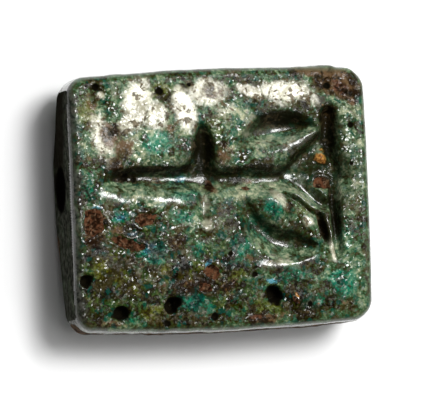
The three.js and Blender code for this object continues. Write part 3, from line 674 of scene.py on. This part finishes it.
# How each patch's outline is torn: by which noise, how far and how softly
TORN = {
    "teal": ("rip", 1.3, 0.3), "olive": ("rip", 0.8, 0.3), "haze_and_painted_sheen": ("rip", 0.5, 0.45),
    "cream_and_painted_highlight": ("both", 1.3, 0.35), "blue": ("tear", 1.1, 0.25), "lit_pale": ("rip", 1.1, 0.4),
    "brown": ("both", 1.5, 0.3), "rust": ("tear", 0.35, 0.12), "flake": ("tear", 0.35, 0.12),
    "amber": ("tear", 0.9, 0.2), "soot_and_shade": ("both", 0.9, 0.4), "end_stain": ("tear", 0.3, 0.3),
    "bare": ("tear", 0.4, 0.14),
}
TEAR_MIDDLE = 0.45
# How much of each look shows at its fullest
SHOWN = {"teal": 0.5, "olive": 0.75, "haze_and_painted_sheen": 0.5, "cream_and_painted_highlight": 0.85, "blue": 0.8, "lit_pale": 0.26, "brown": 0.9,
         "edge": 0.6, "end": 0.9, "end_stain": 0.85}
# Ranges of a value, and the range that each is turned into where that isn't 0 to 1
SPANS = {
    "deep": (0.0, 0.8, 0.0, 0.8), "tan": (0.52, 0.62, 0.0, 0.6), "green_crystal": (0.3, 0.4, 0.0, 0.5),
    "painted_hollow_shade": (0.02, 0.6, 0.0, 0.65),
    "rust_fleck": (0.54, 0.64, 0.0, 0.5), "core_fleck": (0.52, 0.62, 0.0, 0.6),
    "soot_and_shade_tint": (0.0, 0.7, 0.0, 0.75), "soot_and_shade": (0.5, 1.0, 0.0, 0.85), "scales": (0.56, 0.6),
    "scales_on_cream": (0.02, 0.3, 0.25, 0.85), "pit": (0.1, 0.8), "turned": (0.285, 0.335),
    "granular_rough": (0.35, 0.65, 0.2, 0.34), "melted_wet": (0.3, 0.45, 0.75, 1.0),
    "side_bump": (0.2, 0.9, 0.9, 0.35),
}
# Gloss: crystals that are turned to the light glint, and broken or dirty places are dull
TURNED_BRIGHT, CREAM_GLOSS, BROWN_DULL, DIRT_DULL = 0.085, 0.6, 0.6, 0.8
LEAST_WET, MELTED_ROUGH, DULL_ROUGH = 0.06, 0.14, 0.55
# Relief in millimetres, and how far the crystals' facets lean
DENT_HEIGHT, GRAIN_HEIGHT, DULL_HEIGHT, SCALE_DEPTH = 0.012, 0.012, 0.05, 0.02
MELTED_LEAN, GRANULAR_LEAN, TURNED_LEAN = 0.03, 0.07, 0.36
IOR, COAT_ROUGHNESS = 1.52, 0.16
# The two materials: name, specular level, coat
WORN_GLAZE, DULL_GLAZE = ("worn_faience_glaze", 0.02, 1.0), ("dull_end_and_bore", 0.0, 0.0)
DULL_END_DEPTH, DULL_END_TOP, DULL_BORE_MARGIN = 0.06, 3.9, 0.05


class Shader:
    """Short names for the nodes that the glaze is made of."""

    def __init__(self, name):
        self.material = bpy.data.materials.new(name)
        self.material.use_nodes = True
        self.nodes, self.links = self.material.node_tree.nodes, self.material.node_tree.links
        self.nodes.clear()
        self.place = self.nodes.new("ShaderNodeTexCoord").outputs["Object"]

    def put(self, socket, value):
        if isinstance(value, bpy.types.NodeSocket):
            self.links.new(value, socket)
        else:
            socket.default_value = value

    def math(self, operation, a, b=0.0, clamp=False):
        node = self.nodes.new("ShaderNodeMath")
        node.operation, node.use_clamp = operation, clamp
        self.put(node.inputs[0], a)
        self.put(node.inputs[1], b)
        return node.outputs[0]

    def joined(self, operation, first, *others):
        for other in others:
            first = self.math(operation, first, other)
        return first

    def plus(self, *values):
        return self.joined("ADD", *values)

    def times(self, *values):
        return self.joined("MULTIPLY", *values)

    def largest(self, *values):
        return self.joined("MAXIMUM", *values)

    def vector(self, operation, a, b=(0.0, 0.0, 0.0)):
        node = self.nodes.new("ShaderNodeVectorMath")
        node.operation = operation
        self.put(node.inputs[0], a)
        self.put(node.inputs[1], b)
        return node.outputs[0]

    def noise(self, size_mm, detail, rough, distort, offset):
        node = self.nodes.new("ShaderNodeTexNoise")
        shift = tuple(offset * way for way in OFFSET_WAY)
        self.put(node.inputs["Vector"], self.vector("ADD", self.place, shift))
        for key, value in (("Scale", 1 / (size_mm * MM)), ("Detail", detail), ("Roughness", rough),
                           ("Distortion", distort)):
            node.inputs[key].default_value = value
        return node.outputs["Fac"]

    def cells(self, size_mm):
        """A random vector, from -0.5 to 0.5 each way, for each crystal of a warped mosaic."""
        middle = (0.5, 0.5, 0.5)
        warp = self.nodes.new("ShaderNodeTexNoise")
        self.put(warp.inputs["Vector"], self.place)
        warp.inputs["Scale"].default_value = 1 / (size_mm * WARP_SIZE * MM)
        drift = self.vector("MULTIPLY", self.vector("SUBTRACT", warp.outputs["Color"], middle),
                            (size_mm * WARP_REACH * MM,) * 3)
        node = self.nodes.new("ShaderNodeTexVoronoi")
        self.put(node.inputs["Vector"], self.vector("ADD", self.place, drift))
        node.inputs["Scale"].default_value = 1 / (size_mm * MM)
        return self.vector("SUBTRACT", node.outputs["Color"], middle)

    def split(self, vector):
        node = self.nodes.new("ShaderNodeSeparateXYZ")
        self.links.new(vector, node.inputs[0])
        return node.outputs

    def ramp(self, value, stops):
        node = self.nodes.new("ShaderNodeValToRGB")
        self.put(node.inputs[0], value)
        elements = node.color_ramp.elements
        elements[0].position, elements[1].position = stops[0][0], stops[-1][0]
        elements[0].color, elements[1].color = (*stops[0][1], 1), (*stops[-1][1], 1)
        for position, colour in stops[1:-1]:
            elements.new(position).color = (*colour, 1)
        return node.outputs[0]

    def span(self, value, low, high, to_low=0.0, to_high=1.0):
        node = self.nodes.new("ShaderNodeMapRange")
        node.interpolation_type = "SMOOTHSTEP"
        for key, v in (("Value", value), ("From Min", low), ("From Max", high), ("To Min", to_low),
                       ("To Max", to_high)):
            self.put(node.inputs[key], v)
        return node.outputs["Result"]

    def mix(self, factor, a, b, blend="MIX"):
        node = self.nodes.new("ShaderNodeMix")
        node.data_type, node.blend_type = "RGBA", blend
        for socket, value in zip((node.inputs[0], node.inputs[6], node.inputs[7]), (factor, a, b)):
            self.put(socket, (*value, 1.0) if isinstance(value, tuple) else value)
        return node.outputs[2]

    def saturate(self, colour, amount):
        node = self.nodes.new("ShaderNodeHueSaturation")
        self.put(node.inputs["Color"], colour)
        node.inputs["Saturation"].default_value = amount
        return node.outputs[0]

    def masks(self):
        found = {}
        for name, members in MASK_SETS.items():
            node = self.nodes.new("ShaderNodeAttribute")
            node.attribute_type, node.attribute_name = "GEOMETRY", name
            split = self.nodes.new("ShaderNodeSeparateColor")
            self.links.new(node.outputs["Color"], split.inputs[0])
            found.update(zip(members, split.outputs))
        return found

    def torn(self, mask, tear, amount, soft):
        """A mask with a ragged edge instead of a soft one."""
        raised = self.plus(mask, self.times(self.math("SUBTRACT", tear, 0.5), amount * 2))
        return self.span(raised, TEAR_MIDDLE - soft, TEAR_MIDDLE + soft)


def glaze(name, specular, coat):
    """The glaze: a mosaic of crystals with stains, soot, broken scales and bare places over it, with
    painted shade, painted light and painted highlights.
    """
    s = Shader(name)
    masks = s.masks()
    noise = {key: s.noise(*row) for key, row in NOISES.items()}
    noise["both"] = s.times(s.plus(noise["rip"], noise["tear"]), 0.5)
    pick, tint, _ = s.split(s.cells(CRYSTAL_SIZE))
    facets = s.cells(FACET_SIZE)
    flash = s.split(facets)[0]
    # The tone is raised where the lighter patches and the walls that face the lamp paint light
    noise["tone"] = s.plus(s.times(pick, CRYSTAL_TONE), s.span(noise["clouds"], *CLOUD_TONE),
                           s.times(flash, FACET_TONE), s.span(noise["grain"], *GRAIN_TONE),
                           s.times(s.largest(masks["lighter_and_painted_light"], masks["lit_pale"]), LIGHTER_AND_PAINTED_LIGHT_TONE),
                           s.times(masks["deep"], -DEEP_TONE))
    colour = {key: s.mix(s.span(noise[by], low, high), dark, light)
              for key, (by, low, high, dark, light) in COLOURS.items()}
    colour["rust"] = s.mix(s.span(noise["grain"], *SPANS["rust_fleck"]), colour["rust"], RUST_FLECK)
    colour["core"] = s.mix(s.span(noise["grain"], *SPANS["core_fleck"]), colour["core"], CORE_FLECK)
    spread = {**masks, "haze_and_painted_sheen": masks["cream_and_painted_highlight"], "rust": s.largest(masks["rust"], masks["flake"])}
    torn = {key: s.torn(spread[key], noise[by], amount, soft) for key, (by, amount, soft) in TORN.items()}

    # The ground, with its dark lower half, tan clouds and green crystals
    base = s.ramp(s.times(noise["tone"], TONE_SCALE), TONES)
    base = s.mix(s.span(masks["deep"], *SPANS["deep"]), base, DEEP_TINT, "MULTIPLY")
    # The tan clouds are lighter where the ground is lighter or painted light
    tan = s.mix(s.times(masks["lighter_and_painted_light"], TAN_BRIGHTENED), TAN_DARK, TAN_LIGHT)
    base = s.mix(s.span(noise["rip"], *SPANS["tan"]), base, tan)
    base = s.mix(torn["teal"], base, s.mix(SHOWN["teal"], base, colour["teal"]))
    base = s.mix(s.span(tint, *SPANS["green_crystal"]), base, GREEN_CRYSTAL)
    base = s.mix(s.times(torn["olive"], SHOWN["olive"]), base, colour["olive"])
    base = s.saturate(base, SATURATION)

    # Cream patches with painted highlights, blue patches, the strokes' painted shade and painted light,
    # then brown, rust, amber, and soot with painted shade
    # A pale veil round the cream patches, partly painted sheen
    base = s.mix(s.times(torn["haze_and_painted_sheen"], SHOWN["haze_and_painted_sheen"]), base, HAZE_AND_PAINTED_SHEEN)
    # Cream patches, partly painted highlights
    base = s.mix(s.times(torn["cream_and_painted_highlight"], SHOWN["cream_and_painted_highlight"]), base, colour["cream_and_painted_highlight"])
    base = s.mix(s.times(torn["blue"], SHOWN["blue"]), base, colour["blue"])
    # Painted shade in the hollows round the strokes
    base = s.mix(s.span(masks["painted_hollow_shade"], *SPANS["painted_hollow_shade"]), base, PAINTED_HOLLOW_SHADE)
    # Painted light on the walls that face the lamp
    base = s.mix(s.times(torn["lit_pale"], SHOWN["lit_pale"]), base, colour["lit_pale"])
    base = s.mix(s.times(torn["brown"], SHOWN["brown"]), base, colour["brown"])
    base = s.mix(torn["rust"], base, colour["rust"])
    base = s.mix(torn["amber"], base, colour["amber"])
    # Soot, and painted shade in the strokes, darken the colour
    base = s.mix(s.span(torn["soot_and_shade"], *SPANS["soot_and_shade_tint"]), base, SOOT_AND_SHADE_TINT, "MULTIPLY")
    base = s.mix(s.span(torn["soot_and_shade"], *SPANS["soot_and_shade"]), base, SOOT_AND_SHADE)

    # Small scales have broken away, mostly from the cream patches
    scaled = s.times(s.span(noise["scales"], *SPANS["scales"]),
                     s.span(masks["cream_and_painted_highlight"], *SPANS["scales_on_cream"]))
    base = s.mix(scaled, base, colour["scale"])

    # The sides, the dark end, bare clay, pits and the bore, whose near-black colour is painted shade
    base = s.mix(s.times(masks["side"], SHOWN["edge"]), base, colour["edge"])
    base = s.mix(s.times(masks["end"], SHOWN["end"]), base, colour["end"])
    base = s.mix(s.times(torn["end_stain"], SHOWN["end_stain"]), base, STAIN)
    base = s.mix(torn["bare"], base, colour["core"])
    base = s.mix(s.span(masks["pit"], *SPANS["pit"]), base, PIT)
    # Painted shade inside the bore
    base = s.mix(masks["bore"], base, PAINTED_BORE_SHADE)

    dirt_and_shade = s.times(s.largest(s.times(torn["brown"], BROWN_DULL), torn["soot_and_shade"]), DIRT_DULL)
    dull = s.largest(torn["bare"], masks["bore"], masks["pit"], scaled, torn["flake"], dirt_and_shade)
    turned = s.plus(s.math("ABSOLUTE", flash), s.times(masks["lighter_and_painted_light"], TURNED_BRIGHT))
    turned = s.span(turned, *SPANS["turned"])
    melted = s.largest(masks["melted"], s.times(torn["cream_and_painted_highlight"], CREAM_GLOSS))
    granular = s.math("SUBTRACT", 1.0, melted)
    rough = s.plus(MELTED_ROUGH, s.times(granular, s.span(noise["clouds"], *SPANS["granular_rough"])))
    rough = s.math("ADD", rough, s.times(dull, DULL_ROUGH), clamp=True)
    wet = s.times(s.math("SUBTRACT", 1.0, granular), s.span(noise["clouds"], *SPANS["melted_wet"]))
    wet = s.times(s.largest(wet, turned, LEAST_WET), s.math("SUBTRACT", 1.0, dull), coat)

    height = s.plus(s.times(noise["dents"], DENT_HEIGHT), s.times(noise["grain"], GRAIN_HEIGHT),
                    s.times(dull, noise["tear"], DULL_HEIGHT), s.times(scaled, -SCALE_DEPTH))
    bump = s.nodes.new("ShaderNodeBump")
    s.put(bump.inputs["Strength"], s.span(masks["side"], *SPANS["side_bump"]))
    s.put(bump.inputs["Distance"], MM)
    s.put(bump.inputs["Height"], height)
    leaning = s.plus(s.times(granular, GRANULAR_LEAN), MELTED_LEAN, s.times(turned, granular, TURNED_LEAN))
    normal = s.vector("NORMALIZE", s.vector("ADD", bump.outputs[0], s.vector("MULTIPLY", facets, leaning)))

    shade = s.nodes.new("ShaderNodeBsdfPrincipled")
    s.put(shade.inputs["Base Color"], base)
    s.put(shade.inputs["Roughness"], rough)
    s.put(shade.inputs["Normal"], normal)
    shade.inputs["IOR"].default_value = IOR
    shade.inputs["Specular IOR Level"].default_value = specular
    s.put(shade.inputs["Coat Weight"], wet)
    s.put(shade.inputs["Coat Normal"], normal)
    shade.inputs["Coat Roughness"].default_value = COAT_ROUGHNESS
    out = s.nodes.new("ShaderNodeOutputMaterial")
    s.links.new(shade.outputs[0], out.inputs["Surface"])
    return s.material


def build_plaque():
    plaque = in_scene("glazed_plaque", plaque_mesh())
    pierce(plaque)
    mesh = plaque.data
    mesh.name = "glazed_plaque"
    mesh.polygons.foreach_set("use_smooth", np.ones(len(mesh.polygons), bool))
    write_masks(mesh)
    mesh.materials.clear()
    mesh.materials.append(glaze(*WORN_GLAZE))
    mesh.materials.append(glaze(*DULL_GLAZE))
    dull = []
    for polygon in mesh.polygons:
        x, y, z = polygon.center / MM
        from_bore = math.hypot(y - BORE_OFFSET, z - BORE_HEIGHT)
        in_bore = from_bore < BORE_RADIUS + MOUTH_FLARE + DULL_BORE_MARGIN
        on_end = abs(x) > HALF_LENGTH - DULL_END_DEPTH and z < DULL_END_TOP
        dull.append(1 if in_bore or on_end else 0)
    mesh.polygons.foreach_set("material_index", dull)
    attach(plaque, "root")
    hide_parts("plaque")


FLOOR_REACH = 3.0
FLOOR_COLOUR, FLOOR_ROUGHNESS = (0.86, 0.86, 0.86, 1), 0.9


def build_stage():
    corners = [(x * FLOOR_REACH, y * FLOOR_REACH, 0) for x, y in ((-1, -1), (1, -1), (1, 1), (-1, 1))]
    floor = in_scene("floor", mesh_of("floor", corners, [(0, 1, 2, 3)]))
    lit_pale = bpy.data.materials.new("pale_paper")
    lit_pale.use_nodes = True
    shade = lit_pale.node_tree.nodes["Principled BSDF"]
    shade.inputs["Base Color"].default_value = FLOOR_COLOUR
    shade.inputs["Roughness"].default_value = FLOOR_ROUGHNESS
    shade.inputs["Specular IOR Level"].default_value = 0.0
    floor.data.materials.append(lit_pale)


# The photograph's light: one soft box above the plaque's upper right, brighter in its middle, and a dim
# room round it. Each lamp is (name, where it shines from, size in metres, watts).
LIGHT_DISTANCE = 0.5
LIGHTS = [
    ("soft_box", (0.35, 0.24, 1.0), 0.5, 1.3),
    ("soft_box_core", (0.31, 0.28, 1.0), 0.16, 2.3),
    ("right_fill", (0.85, -0.35, 0.6), 0.3, 0.3),
]
ROOM_COLOUR, ROOM_STRENGTH = (1, 1, 1, 1), 0.07


def build_light():
    for name, shines_from, size, watts in LIGHTS:
        toward = Vector(shines_from).normalized()
        lamp = bpy.data.lights.new(name, "AREA")
        lamp.shape, lamp.size, lamp.energy = "SQUARE", size, watts
        box = in_scene(name, lamp)
        box.location = toward * LIGHT_DISTANCE
        box.rotation_euler = toward.to_track_quat("Z", "Y").to_euler()
    world = bpy.data.worlds.new("room")
    world.use_nodes = True
    background = world.node_tree.nodes["Background"]
    background.inputs["Color"].default_value = ROOM_COLOUR
    background.inputs["Strength"].default_value = ROOM_STRENGTH
    bpy.context.scene.world = world


# The photograph's view: from above, a little from the pierced left end and the near long side
VIEW_FROM = Vector((-0.2375, -0.05, 1.0)).normalized()
VIEW_TARGET = Vector((-0.434, -0.237, 4.4)) * MM
VIEW_DISTANCE = 0.35
VIEW_ROLL = math.radians(1.68)
LENS, SENSOR_WIDTH = 631.5, 36
CLIP_START, CLIP_END = 0.01, 20


def build_camera():
    data = bpy.data.cameras.new("camera")
    data.lens, data.sensor_width = LENS, SENSOR_WIDTH
    data.clip_start, data.clip_end = CLIP_START, CLIP_END
    camera = in_scene("camera", data)
    level = (Vector((1, 0, 0)) - VIEW_FROM * VIEW_FROM.x).normalized()
    right = level * math.cos(VIEW_ROLL) - VIEW_FROM.cross(level) * math.sin(VIEW_ROLL)
    up = VIEW_FROM.cross(right)
    turn = Matrix((right, up, VIEW_FROM)).transposed().to_4x4()
    camera.matrix_world = Matrix.Translation(VIEW_TARGET + VIEW_FROM * VIEW_DISTANCE) @ turn
    bpy.context.scene.camera = camera


build_plaque()
build_stage()
build_light()
build_camera()
bpy.context.scene.view_settings.view_transform = "Standard"
